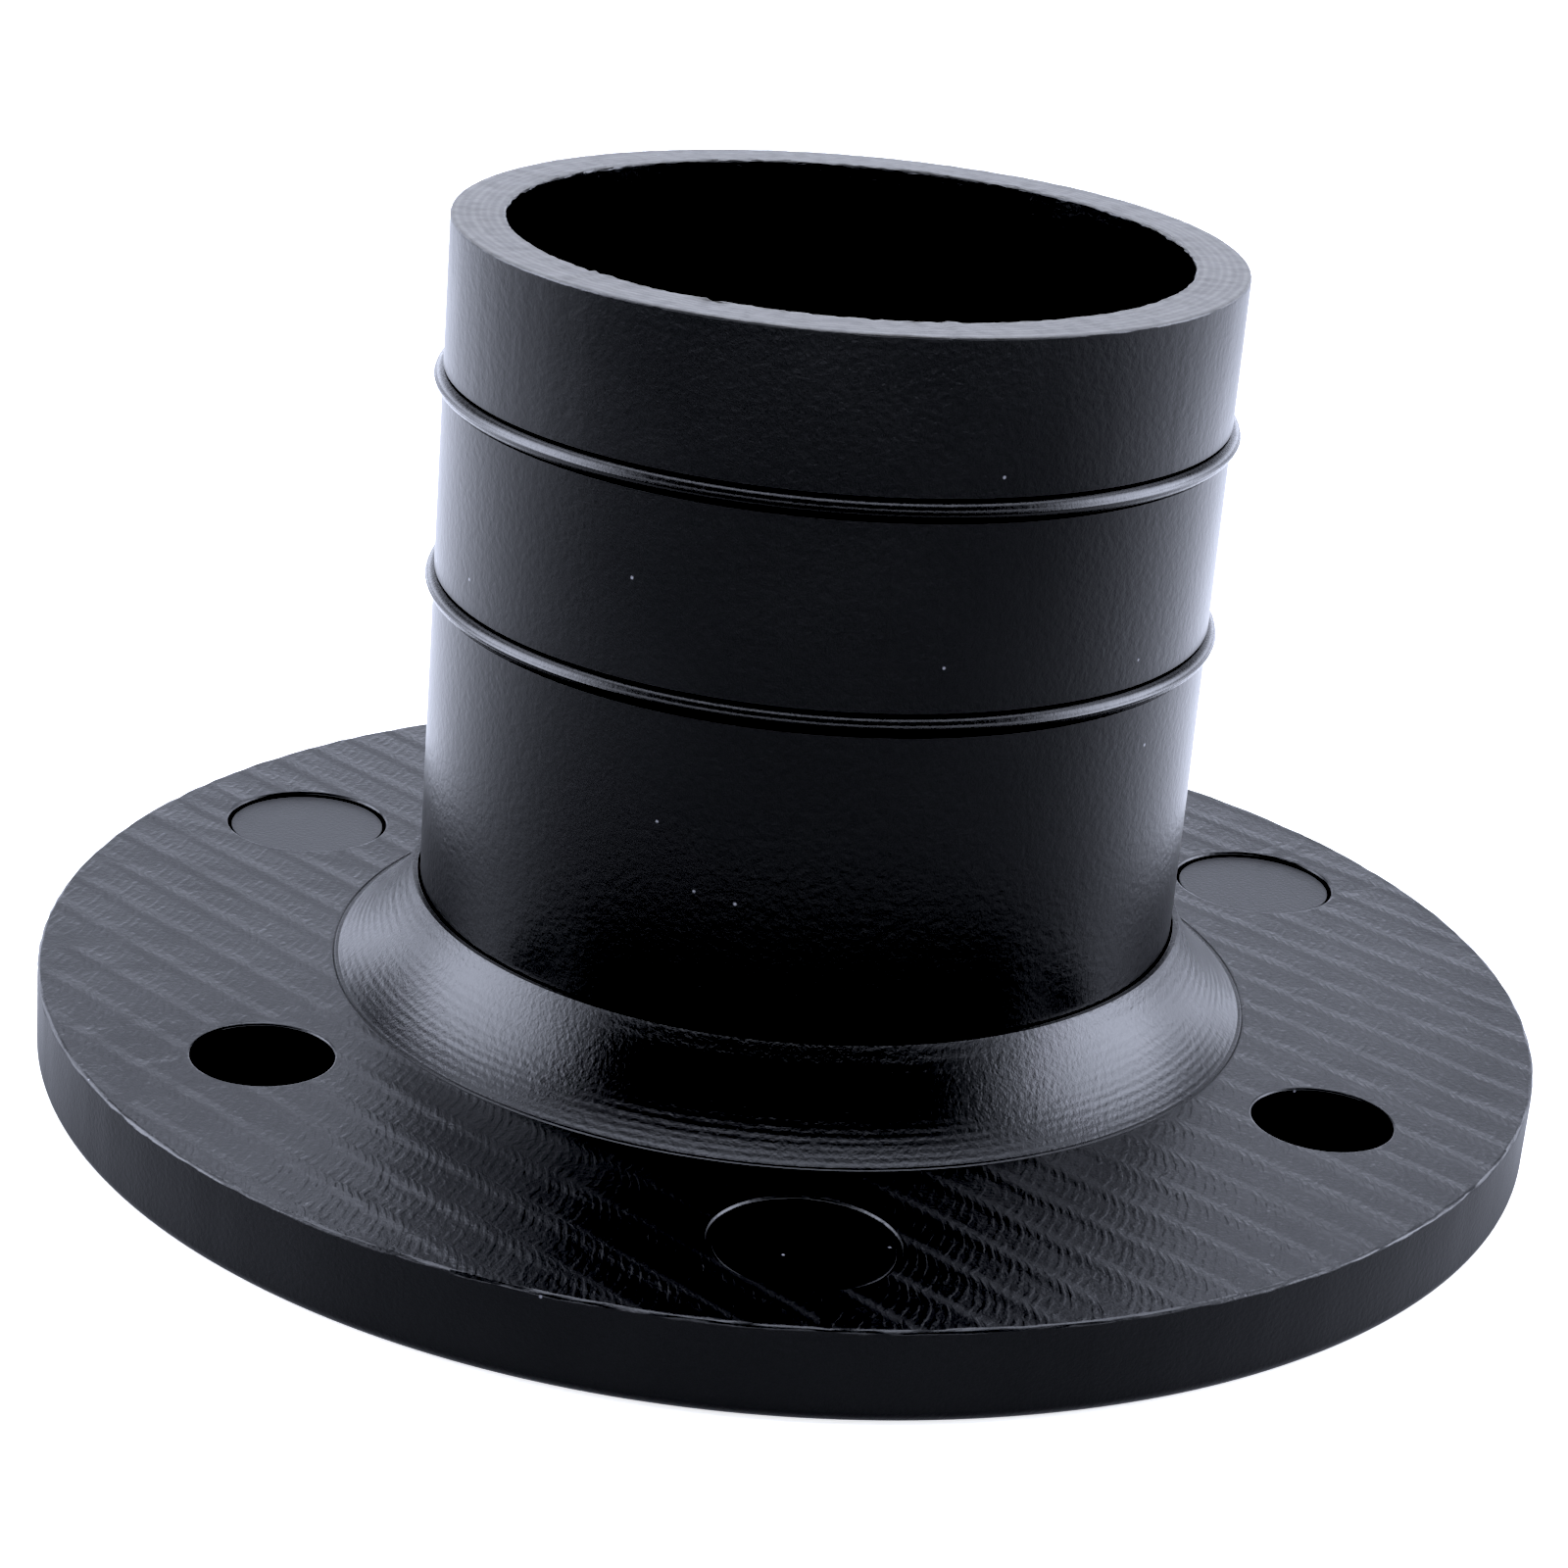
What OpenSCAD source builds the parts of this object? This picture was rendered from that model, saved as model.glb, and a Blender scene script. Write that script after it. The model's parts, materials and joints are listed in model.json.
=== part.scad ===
// Toilet flange: a swivelling flange ring on a tube that seals in the drain pipe
// with two rubber rings. Millimetres, +Z up, origin at the centre of the plate's
// underside, which is the face that the toilet stands on.

/* [Tube] */
// Outside diameter of the tube
tube_d = 90; // [60:0.1:130]
// Wall of the tube
tube_wall = 6.2; // [4.5:0.1:8]
// Height of the tube's rim above the plate's underside
total_h = 100.4; // [80:0.1:200]
// Bevel of the rim's edges
rim_bevel = 0.5; // [0.2:0.1:1]
// Bevel of the tube's mouth at the toilet side
mouth_bevel = 3; // [1:0.5:4]
// How far the tube's lip stands out under the plate
lip_w = 7.5; // [4:0.5:9]
// Thickness of the lip
lip_t = 4; // [3:0.5:5]
// How far the lip stands back from the plate's underside
lip_inset = 0.3; // [0.2:0.1:0.6]

/* [Flange ring] */
// Thickness of the plate
plate_t = 10.8; // [8:0.1:14]
// Width of the plate outside the foot of its collar
plate_w = 35; // [28:0.1:60]
// Rounding of the plate's lower edge
plate_edge_r = 1.5; // [0.5:0.1:3]
// Bevel of the plate's upper edge
plate_bevel = 0.5; // [0.2:0.1:1]
// Height of the collar above the plate
collar_h = 10.6; // [8:0.1:16]
// How much further out the collar's foot is than its top
collar_spread = 8.4; // [7:0.1:11]
// Radius of the collar's hollow slope
collar_slope_r = 26; // [24:1:60]
// Width of the collar's flat top
collar_land = 0.6; // [0.5:0.1:2]
// Gap between the tube and the flange ring, all round
swivel_gap = 0.25; // [0.2:0.05:0.4]

/* [Bolt holes] */
// Distance from the collar's foot to the circle of the bolt holes
bolt_reach = 14.75; // [12:0.05:17]
// Diameter of a bolt hole
bolt_hole_d = 16; // [10:0.5:19]
// Bevel at the mouths of the holes
hole_bevel = 0.4; // [0.2:0.1:0.8]

/* [Hole plugs] */
// Distance from the collar's foot to the circle of the plugs
plug_reach = 17; // [14:0.1:20]
// Width of the step that carries a plug's head, beyond the bolt hole
plug_step = 2.1; // [1.5:0.1:2.5]
// Thickness of a plug's head
plug_head_t = 2.5; // [2:0.1:4]
// How far a plug's head lies below the plate's upper face
plug_sink = 0.5; // [0.2:0.1:1]
// Gap around a plug's head
plug_gap = 0.3; // [0.1:0.05:0.4]
// Gap around a plug's stem
stem_gap = 0.1; // [0.05:0.05:0.3]
// How far a plug's stem ends above the plate's underside
stem_short = 0.5; // [0.2:0.1:2]

/* [Rubber rings] */
// Diameter of a rubber ring's section
o_ring_section = 2.1; // [1.8:0.1:3]
// How far a rubber ring stands out of the tube
o_ring_proud = 0.95; // [0.6:0.05:1.1]
// How far a rubber ring is pressed flat on the floor of its groove
o_ring_squash = 0.1; // [0.05:0.05:0.2]
// Gap at each side of a rubber ring in its groove
o_ring_side_gap = 0.15; // [0.1:0.05:0.4]
// Distance from the rim down to the upper rubber ring
o_ring_drop = 18.5; // [8:0.1:24]
// Distance from the upper rubber ring down to the lower one
o_ring_pitch = 23.7; // [8:0.1:29]

/* [Retaining ring] */
// Thickness of the retaining ring
snap_t = 1.6; // [1.2:0.1:2]
// Width of the retaining ring, measured outwards from the axis
snap_w = 2.6; // [2.2:0.1:3.1]
// How far the retaining ring reaches into the flange ring
snap_reach = 1; // [0.8:0.1:1.2]
// Room in the tube's groove below the retaining ring when it is squeezed in
snap_squeeze_gap = 0.2; // [0.1:0.05:0.4]
// Height of the retaining ring above the plate's upper face
snap_rise = 1.5; // [1:0.1:2]
// Angle of the split in the retaining ring
snap_split = 12; // [6:1:20]

/* [Hidden] */
$fn = 96;

// Overshoot of a cut past the face that it opens
cut = 1;
// Open bolt holes alternate with plugged ones
bolt_holes = 3;
bolt_pitch = 360 / bolt_holes;
rear_hole_angle = 90;
front_plug_angle = 270;
rear_left_plug_angle = 150;
rear_right_plug_angle = 30;

tube_r = tube_d / 2;
bore_r = tube_r - tube_wall;
collar_bore_r = tube_r + swivel_gap;
collar_top_r = collar_bore_r + collar_land;
collar_top_z = plate_t + collar_h;
collar_foot_r = collar_top_r + collar_spread;
plate_r = collar_foot_r + plate_w;
bolt_circle_r = collar_foot_r + bolt_reach;
plug_circle_r = collar_foot_r + plug_reach;
bolt_hole_r = bolt_hole_d / 2;

lip_r = tube_r + lip_w;
lip_top_z = lip_inset + lip_t;
recess_r = lip_r + swivel_gap;
recess_z = lip_top_z + swivel_gap;

snap_outer_r = collar_bore_r + snap_reach;
snap_inner_r = snap_outer_r - snap_w;
snap_groove_r = collar_bore_r - snap_w - snap_squeeze_gap;
snap_room_r = snap_outer_r + swivel_gap;
snap_low_z = plate_t + snap_rise - snap_t / 2;

step_r = bolt_hole_r + plug_step;
stem_r = bolt_hole_r - stem_gap;
step_z = plate_t - plug_sink - plug_head_t;

o_ring_r = o_ring_section / 2;
o_ring_centre_r = tube_r + o_ring_proud - o_ring_r;
o_groove_r = o_ring_centre_r - o_ring_r + o_ring_squash;
o_groove_w = o_ring_section + 2 * o_ring_side_gap;
upper_o_ring_z = total_h - o_ring_drop;
lower_o_ring_z = upper_o_ring_z - o_ring_pitch;

plastic = [0.055, 0.057, 0.065];
plug_plastic = [0.06, 0.062, 0.07];
rubber = [0.03, 0.03, 0.032];
spring_steel = [0.45, 0.46, 0.48];

// A cylinder that stands at height z
module disc(r, z, h) {
    translate([0, 0, z]) cylinder(r = r, h = h);
}

// A ring with a square section
module band(inner_r, outer_r, z, h) {
    difference() {
        disc(outer_r, z, h);
        disc(inner_r, z - cut, h + 2 * cut);
    }
}

// What is placed at a radius and an angle about the axis
module at_polar(radius, angle) {
    rotate([0, 0, angle]) translate([radius, 0, 0]) children();
}

// Half of the plate's section, from the axis outwards
module plate_outline() {
    square([plate_r - plate_edge_r, plate_t]);
    translate([plate_r - plate_edge_r, plate_edge_r]) circle(r = plate_edge_r);
    polygon([
        [0, plate_edge_r],
        [plate_r, plate_edge_r],
        [plate_r, plate_t - plate_bevel],
        [plate_r - plate_bevel, plate_t],
        [0, plate_t]
    ]);
}

// Half of the sloping collar's section, from the axis outwards
module collar_outline() {
    slope = norm([collar_spread, collar_h]);
    reach = sqrt(collar_slope_r ^ 2 - (slope / 2) ^ 2) / slope;
    difference() {
        square([collar_foot_r, collar_top_z]);
        translate([collar_top_r + collar_spread / 2 + collar_h * reach,
                   plate_t + collar_h / 2 + collar_spread * reach])
            circle(r = collar_slope_r);
    }
}

// A bolt hole with bevelled mouths
module bolt_hole() {
    mouth_r = bolt_hole_r + hole_bevel + cut;
    disc(bolt_hole_r, -cut, plate_t + 2 * cut);
    translate([0, 0, plate_t - hole_bevel])
        cylinder(r1 = bolt_hole_r, r2 = mouth_r, h = hole_bevel + cut);
    translate([0, 0, -cut]) cylinder(r1 = mouth_r, r2 = bolt_hole_r, h = hole_bevel + cut);
}

// A stepped hole that a plug closes
module plug_hole() {
    disc(bolt_hole_r, -cut, step_z + 2 * cut);
    disc(step_r, step_z, plug_head_t + plug_sink + cut);
}

module flange_ring() {
    color(plastic)
    difference() {
        rotate_extrude() {
            plate_outline();
            collar_outline();
        }
        disc(collar_bore_r, -cut, collar_top_z + 2 * cut);
        disc(recess_r, -cut, recess_z + cut);
        disc(snap_room_r, snap_low_z - swivel_gap, snap_t + 2 * swivel_gap);
        for (i = [0 : bolt_holes - 1]) {
            at_polar(bolt_circle_r, rear_hole_angle + i * bolt_pitch) bolt_hole();
            at_polar(plug_circle_r, front_plug_angle + i * bolt_pitch) plug_hole();
        }
    }
}

// Groove for a rubber ring, cut into the tube
module o_groove(z) {
    band(o_groove_r, tube_r + cut, z - o_groove_w / 2, o_groove_w);
}

// The outer shell of the tube with its lip and the bevel at its rim
module tube_body() {
    disc(tube_r, lip_inset, total_h - lip_inset - rim_bevel);
    disc(lip_r, lip_inset, lip_t);
    translate([0, 0, total_h - rim_bevel])
        cylinder(r1 = tube_r, r2 = tube_r - rim_bevel, h = rim_bevel);
}

module spigot_tube() {
    color(plastic)
    difference() {
        tube_body();
        disc(bore_r, lip_inset - cut, total_h + 2 * cut);
        translate([0, 0, total_h - rim_bevel])
            cylinder(r1 = bore_r, r2 = bore_r + rim_bevel + cut, h = rim_bevel + cut);
        translate([0, 0, lip_inset - cut])
            cylinder(r1 = bore_r + mouth_bevel + cut, r2 = bore_r, h = mouth_bevel + cut);
        o_groove(lower_o_ring_z);
        o_groove(upper_o_ring_z);
        band(snap_groove_r, tube_r + cut, snap_low_z, snap_t);
    }
}

// Split snap ring, half in the tube's groove and half in the flange ring's
module retaining_ring() {
    split_w = 2 * snap_outer_r * sin(snap_split / 2);
    color(spring_steel)
    difference() {
        band(snap_inner_r, snap_outer_r, snap_low_z, snap_t);
        translate([-split_w / 2, 0, snap_low_z - cut])
            cube([split_w, snap_outer_r + cut, snap_t + 2 * cut]);
    }
}

// Round-section rubber ring, pressed a little flat on the groove's floor
module o_ring(z) {
    color(rubber)
    translate([0, 0, z])
    difference() {
        rotate_extrude() translate([o_ring_centre_r, 0]) circle(r = o_ring_r);
        disc(o_groove_r, -o_ring_section, 2 * o_ring_section);
    }
}

// Plug with a round head just below the plate's face and a stem in the hole
module hole_plug(angle) {
    color(plug_plastic)
    at_polar(plug_circle_r, angle) {
        disc(step_r - plug_gap, step_z, plug_head_t);
        disc(stem_r, stem_short, step_z - stem_short);
    }
}

flange_ring();
spigot_tube();
retaining_ring();
o_ring(upper_o_ring_z);  // upper_o_ring
o_ring(lower_o_ring_z);  // lower_o_ring
hole_plug(front_plug_angle);  // front_hole_plug
hole_plug(rear_left_plug_angle);  // rear_left_hole_plug
hole_plug(rear_right_plug_angle);  // rear_right_hole_plug
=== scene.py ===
"""A toilet flange: a milled flange ring that swivels on a tube with two rubber rings."""

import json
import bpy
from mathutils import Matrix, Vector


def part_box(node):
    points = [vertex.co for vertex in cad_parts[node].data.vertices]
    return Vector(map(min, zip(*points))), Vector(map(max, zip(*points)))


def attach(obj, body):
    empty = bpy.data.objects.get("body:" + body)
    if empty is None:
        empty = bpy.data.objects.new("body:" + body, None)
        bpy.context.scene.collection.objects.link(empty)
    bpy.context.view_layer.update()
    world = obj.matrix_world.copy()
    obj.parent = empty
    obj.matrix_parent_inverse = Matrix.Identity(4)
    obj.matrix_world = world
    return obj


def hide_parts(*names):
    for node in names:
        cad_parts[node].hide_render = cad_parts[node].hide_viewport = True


bl_info = {
    "name": "Toilet Flange",
    "version": (1, 0, 0),
    "blender": (4, 5, 0),
    "location": "View3D > Sidebar > Flange",
    "description": "Builds a toilet flange with a swivelling ring, a push-in tube and its seals",
    "category": "Add Mesh",
}

from math import acos, atan2, cos, degrees, pi, radians, sin, tau

import bmesh
import bpy
from bpy.props import FloatProperty, FloatVectorProperty, PointerProperty
from mathutils import Vector

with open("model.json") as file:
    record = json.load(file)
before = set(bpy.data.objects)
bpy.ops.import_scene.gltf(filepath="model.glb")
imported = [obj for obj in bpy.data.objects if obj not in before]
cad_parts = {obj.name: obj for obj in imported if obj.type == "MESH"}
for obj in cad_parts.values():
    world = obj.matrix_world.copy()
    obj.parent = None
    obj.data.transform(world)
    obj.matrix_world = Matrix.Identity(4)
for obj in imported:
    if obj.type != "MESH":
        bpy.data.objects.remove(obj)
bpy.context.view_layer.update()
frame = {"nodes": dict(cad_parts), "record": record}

MM = 0.001
SEAL_SQUASH = 0.1 * MM
LARGE_TURN_STEPS = 288
SEAL_TURN_STEPS = 240
SMALL_TURN_STEPS = 96
SHARP_ANGLE = 30  # degrees
FIRST_BOLT_HOLE_ANGLE = 90  # degrees
PLASTIC_IOR = 1.5
PALE_DUST = (0.2, 0.2, 0.22, 1)
SEAL_NODES = ("lower_o_ring", "upper_o_ring")
PLUG_NODES = ("rear_right_hole_plug", "rear_left_hole_plug", "front_hole_plug")

mounts = {mount["name"]: mount for mount in frame["record"]["mounts"]}
ring_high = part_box("flange_ring")[1]
tube_low, tube_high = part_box("spigot_tube")
seal_low, seal_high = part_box("upper_o_ring")
tube_r = mounts["pipe_spigot"]["dims"]["r_mm"] * MM
seal_r = (seal_high[2] - seal_low[2]) / 2
seal_proud = seal_high[0] - tube_r

# ---------------------------------------------------------------- sizes and colours


def length(name, about, value):
    """A size in metres that shows as a distance."""
    return FloatProperty(
        name=name, description=about, default=value, precision=5, unit="LENGTH"
    )


def colour(name, about, value):
    """A colour."""
    return FloatVectorProperty(
        name=name, description=about, default=value, subtype="COLOR", min=0.0, max=1.0
    )


class FlangeRingSizes(bpy.types.PropertyGroup):
    """Sizes of the plate and its flared collar"""

    plate_r: length("Plate radius", "Outside radius of the plate", ring_high[0])
    plate_top: length("Plate top", "Height of the plate's upper face",
                      mounts["floor_face"]["pos_m"][2])
    collar_top: length("Collar top", "Height of the collar's rim", ring_high[2])
    spread: length("Collar spread", "How much further out the collar's foot is than its top",
                   8.4 * MM)
    slope_r: length("Slope radius", "Radius of the collar's hollow slope", 26 * MM)
    land: length("Collar land", "Width of the collar's flat rim", 0.6 * MM)
    edge_r: length("Lower edge", "Rounding of the plate's lower edge", 1.5 * MM)
    top_edge_r: length("Upper edge", "Rounding of the plate's upper edge", 0.5 * MM)
    lip_w: length("Lip width", "How far the tube's lip stands out", 7.5 * MM)
    gap: length("Swivel gap", "Gap between ring and tube", 0.25 * MM)
    recess_z: length("Recess depth", "Depth of the recess for the lip", 4.55 * MM)
    snap_low: length("Snap groove", "Lower face of the groove in the bore", 11.25 * MM)
    snap_h: length("Snap groove height", "Height of the groove in the bore", 2.1 * MM)
    snap_depth: length("Snap groove depth", "Depth of the groove in the bore", 1.25 * MM)
    hole_r: length("Bolt hole radius", "Radius of a bolt hole",
                   mounts["bolt_circle"]["dims"]["hole_r_mm"] * MM)
    hole_circle_r: length("Bolt circle", "Radius of the circle of the bolt holes",
                          mounts["bolt_circle"]["dims"]["pcd_mm"] * MM / 2)
    hole_edge_r: length("Hole edge", "Rounding at the mouths of the holes", 0.4 * MM)
    step_r: length("Plug step radius", "Radius of the step around a plug", 10.1 * MM)
    step_z: length("Plug step height", "Height of the step under a plug", 7.8 * MM)


class TubeSizes(bpy.types.PropertyGroup):
    """Sizes of the tube and its lip"""

    outer_r: length("Tube radius", "Outside radius of the tube", tube_r)
    bore_r: length("Bore radius", "Radius of the bore",
                   mounts["drain_bore"]["dims"]["r_mm"] * MM)
    rim_z: length("Rim height", "Height of the rim", tube_high[2])
    rim_edge_r: length("Rim edge", "Rounding of the rim's edges", 0.35 * MM)
    lip_r: length("Lip radius", "Outside radius of the lip", tube_high[0])
    lip_z: length("Lip underside", "Height of the lip's underside", tube_low[2])
    lip_t: length("Lip thickness", "Thickness of the lip", 4 * MM)
    mouth_bevel: length("Mouth bevel", "Bevel at the toilet side", 3 * MM)
    groove_depth: length("Seal groove depth", "Depth of a rubber ring's groove",
                         2 * seal_r - seal_proud - SEAL_SQUASH)
    groove_w: length("Seal groove width", "Width of a rubber ring's groove",
                     2 * seal_r + 0.3 * MM)
    snap_low: length("Snap groove", "Lower face of the retaining ring's groove", 11.5 * MM)
    snap_h: length("Snap groove height", "Height of the retaining ring's groove", 1.6 * MM)
    snap_depth: length("Snap groove depth", "Depth of that groove", 2.55 * MM)


class SealSizes(bpy.types.PropertyGroup):
    """Sizes of the rubber rings"""

    section_r: length("Section radius", "Radius of a ring's section", seal_r)
    proud: length("Standing out", "How far a ring stands out of the tube", seal_proud)
    flash: length("Flash", "Height of the moulding line around a ring", 0.06 * MM)


class PlugSizes(bpy.types.PropertyGroup):
    """Sizes of the hole plugs"""

    head_t: length("Head thickness", "Thickness of a plug's head", 2.5 * MM)
    stem_r: length("Stem radius", "Radius of a plug's stem", 7.9 * MM)
    edge_r: length("Head edge", "Rounding of the head's edge", 0.25 * MM)
    core_r: length("Core radius", "Radius of the dimple under the stem", 5 * MM)
    core_depth: length("Core depth", "Depth of the dimple under the stem", 0.8 * MM)


class FinishColours(bpy.types.PropertyGroup):
    """Colours of the materials"""

    plastic: colour("Plastic", "Black plastic of the ring and the tube", (0.001, 0.0011, 0.0016))
    cut_face: colour("Cut face", "Sawn rim of the tube", (0.105, 0.102, 0.095))
    rubber: colour("Rubber", "Rubber rings", (0.004, 0.004, 0.0045))
    steel: colour("Steel", "Retaining ring", (0.42, 0.43, 0.45))
    floor: colour("Floor", "Floor", (0.9, 0.9, 0.9))


class StageSettings(bpy.types.PropertyGroup):
    """Camera, lights and floor"""

    camera_place: FloatVectorProperty(
        name="Camera place", description="Where the camera stands",
        default=(-0.0233, -0.41197, 0.1918), subtype="TRANSLATION", precision=4)
    camera_turn: FloatVectorProperty(
        name="Camera turn", description="How the camera is turned",
        default=(radians(68.976), radians(-4.4595), radians(-1.187)), subtype="EULER")
    lens: FloatProperty(name="Lens", description="Focal length in millimetres", default=85.36)
    black_level: FloatProperty(
        name="Black level", description="Brightness that shows as black", default=0.026,
        precision=4)
    floor_size: length("Floor size", "Side of the floor", 6.0)
    power: FloatProperty(
        name="Light power", description="How strong the light is altogether", default=1.2)
    side_panels: FloatProperty(
        name="Side panels", description="Brightness of the soft panels at the sides", default=7.0)
    back_panel: FloatProperty(
        name="Back panel", description="Brightness of the panel above and behind", default=4.6)
    horizon: FloatProperty(
        name="Horizon", description="Brightness of the room low down all round", default=3.0)
    room: FloatProperty(
        name="Room", description="Brightness of the rest of the room", default=0.15)
    floor_front: FloatProperty(
        name="Floor in front", description="Brightness of the floor in front", default=0.6)
    floor_back: FloatProperty(
        name="Floor behind", description="Brightness of the floor behind", default=2.5)
    tint: colour("Light tint", "Cool white of the studio light", (0.78, 0.83, 1.0))


# ---------------------------------------------------------------- modelling by hand


def start_piece(name):
    """Starts a mesh as one vertex at the origin, in edit mode."""
    bpy.ops.object.select_all(action="DESELECT")
    bpy.ops.mesh.primitive_plane_add(size=MM, location=(0, 0, 0))
    piece = bpy.context.active_object
    piece.name = piece.data.name = name
    bpy.ops.object.mode_set(mode="EDIT")
    bpy.ops.mesh.select_mode(type="VERT")
    bpy.ops.mesh.select_all(action="SELECT")
    bpy.ops.mesh.merge(type="CENTER")
    return piece


def select_vertices(piece, wanted):
    """Selects the vertices of the piece in edit mode for which wanted(place) is true."""
    bpy.ops.mesh.select_all(action="DESELECT")
    mesh = bmesh.from_edit_mesh(piece.data)
    for vertex in mesh.verts:
        vertex.select = bool(wanted(vertex.co))
    mesh.select_flush_mode()
    bmesh.update_edit_mesh(piece.data)


def arc(centre_r, centre_z, radius, start, end, steps):
    """Points of an arc in a section, from one angle to another in degrees."""
    angles = [radians(start + (end - start) * i / steps) for i in range(steps + 1)]
    return [(centre_r + radius * cos(a), centre_z + radius * sin(a)) for a in angles]


def turn_section(name, points, steps, closed=True):
    """Draws a section point by point and spins it about the Z axis."""
    piece = start_piece(name)
    here = Vector((points[0][0], 0, points[0][1]))
    bpy.ops.transform.translate(value=here)
    for r, z in points[1:]:
        there = Vector((r, 0, z))
        bpy.ops.mesh.extrude_vertices_move(TRANSFORM_OT_translate={"value": there - here})
        here = there
    if closed:
        ends = (Vector((points[0][0], 0, points[0][1])), here)
        select_vertices(piece, lambda p: any((p - end).length < 1e-7 for end in ends))
        bpy.ops.mesh.edge_face_add()
    bpy.ops.mesh.select_all(action="SELECT")
    bpy.ops.mesh.spin(steps=steps, angle=tau, center=(0, 0, 0), axis=(0, 0, 1))
    close_seams()
    return piece


def close_seams():
    """Joins what meets and turns every face outwards."""
    bpy.ops.mesh.select_all(action="SELECT")
    bpy.ops.mesh.remove_doubles(threshold=1e-6)
    bpy.ops.mesh.normals_make_consistent(inside=False)


def roughen(piece, wanted, offset, seed):
    """Moves the chosen vertices about by hand-like small amounts."""
    select_vertices(piece, wanted)
    bpy.ops.transform.vertex_random(offset=offset, uniform=1.0, normal=0.0, seed=seed)


def move_piece(place):
    """Moves all of the piece that is in edit mode."""
    bpy.ops.mesh.select_all(action="SELECT")
    bpy.ops.transform.translate(value=place)


def leave_edit():
    """Goes back to object mode."""
    bpy.ops.object.mode_set(mode="OBJECT")


def cut_with(piece, cutters):
    """Cuts closed shapes out of the piece, and removes them."""
    for cutter in cutters:
        cut = piece.modifiers.new("cut", "BOOLEAN")
        cut.operation = "DIFFERENCE"
        cut.solver = "EXACT"
        cut.object = cutter
        bpy.context.view_layer.objects.active = piece
        bpy.ops.object.modifier_apply(modifier=cut.name)
    for cutter in cutters:
        bpy.data.meshes.remove(cutter.data)


def finish_piece(piece, material, body, slot, *nodes):
    """Shades the piece, gives it its material and hangs it in the frame."""
    bpy.ops.object.select_all(action="DESELECT")
    piece.select_set(True)
    bpy.context.view_layer.objects.active = piece
    bpy.ops.object.shade_smooth_by_angle(angle=radians(SHARP_ANGLE))
    flat = piece.modifiers.new("flat faces", "WEIGHTED_NORMAL")
    flat.mode = "FACE_AREA"
    flat.weight = 100
    flat.keep_sharp = True
    bpy.ops.object.modifier_apply(modifier=flat.name)
    piece.data.materials.clear()
    piece.data.materials.append(material)
    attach(piece, body)
    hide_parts(*nodes)


# ---------------------------------------------------------------- materials


class Sheet:
    """Adds nodes to a node tree and links them."""

    def __init__(self, tree):
        self.tree = tree

    def put(self, socket, value):
        """Links a socket to another, or sets its value."""
        if isinstance(value, bpy.types.NodeSocket):
            self.tree.links.new(value, socket)
        elif value is not None:
            socket.default_value = value

    def node(self, kind, *values, **settings):
        """A new node with its settings, and its inputs filled in order."""
        node = self.tree.nodes.new(kind)
        for key, value in settings.items():
            setattr(node, key, value)
        for socket, value in zip(node.inputs, values):
            self.put(socket, value)
        return node

    def math(self, operation, *values, clamp=False):
        """A sum, a product or another function of one or two values."""
        return self.node("ShaderNodeMath", *values, operation=operation, use_clamp=clamp).outputs[0]

    def scaled(self, vector, amount):
        """A vector times a number."""
        node = self.node("ShaderNodeVectorMath", vector, operation="SCALE")
        self.put(node.inputs["Scale"], amount)
        return node.outputs[0]

    def stretched(self, vector):
        """A place in which a noise becomes short strokes across the milling passes."""
        node = self.node("ShaderNodeMapping", vector, vector_type="TEXTURE")
        node.inputs["Rotation"].default_value = (0, 0, radians(8))
        node.inputs["Scale"].default_value = (0.7, 2.6, 1.0)
        return node.outputs[0]

    def reach(self, x, y):
        """How far a place is from the Z axis."""
        squares = self.math("ADD", self.math("MULTIPLY", x, x), self.math("MULTIPLY", y, y))
        return self.math("SQRT", squares)

    def split(self, vector):
        """The three parts of a vector."""
        return self.node("ShaderNodeSeparateXYZ", vector).outputs

    def ramp(self, value, low, high, to_low=0.0, to_high=1.0):
        """A smooth step from one value to another."""
        node = self.node("ShaderNodeMapRange", interpolation_type="SMOOTHSTEP")
        for name, given in (("Value", value), ("From Min", low), ("From Max", high),
                            ("To Min", to_low), ("To Max", to_high)):
            self.put(node.inputs[name], given)
        return node.outputs[0]

    def noise(self, vector, scale, detail=2.0, roughness=0.5, dimensions="3D"):
        """A soft noise from 0 to 1."""
        node = self.node("ShaderNodeTexNoise", noise_dimensions=dimensions)
        key = "W" if dimensions == "1D" else "Vector"
        for name, given in ((key, vector), ("Scale", scale), ("Detail", detail),
                            ("Roughness", roughness)):
            self.put(node.inputs[name], given)
        return node.outputs["Fac" if "Fac" in node.outputs else 0]

    def mix(self, amount, first, second):
        """A colour between two, by an amount from 0 to 1."""
        node = self.node("ShaderNodeMix", data_type="RGBA")
        self.put(node.inputs["Factor"], amount)
        colours = [s for s in node.inputs if s.type == "RGBA"]
        self.put(colours[0], first)
        self.put(colours[1], second)
        return [s for s in node.outputs if s.type == "RGBA"][0]

    def blend(self, amount, first, second):
        """A value between two, by an amount from 0 to 1."""
        node = self.node("ShaderNodeMix", data_type="FLOAT")
        values = [s for s in node.inputs if s.type == "VALUE"]
        self.put(values[0], amount)
        self.put(values[1], first)
        self.put(values[2], second)
        return node.outputs[0]

    def group(self, tree, **values):
        """Puts a node group in and fills the inputs that are named."""
        node = self.node("ShaderNodeGroup", node_tree=tree)
        for name, given in values.items():
            self.put(node.inputs[name.replace("_", " ").capitalize()], given)
        return node.outputs


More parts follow.
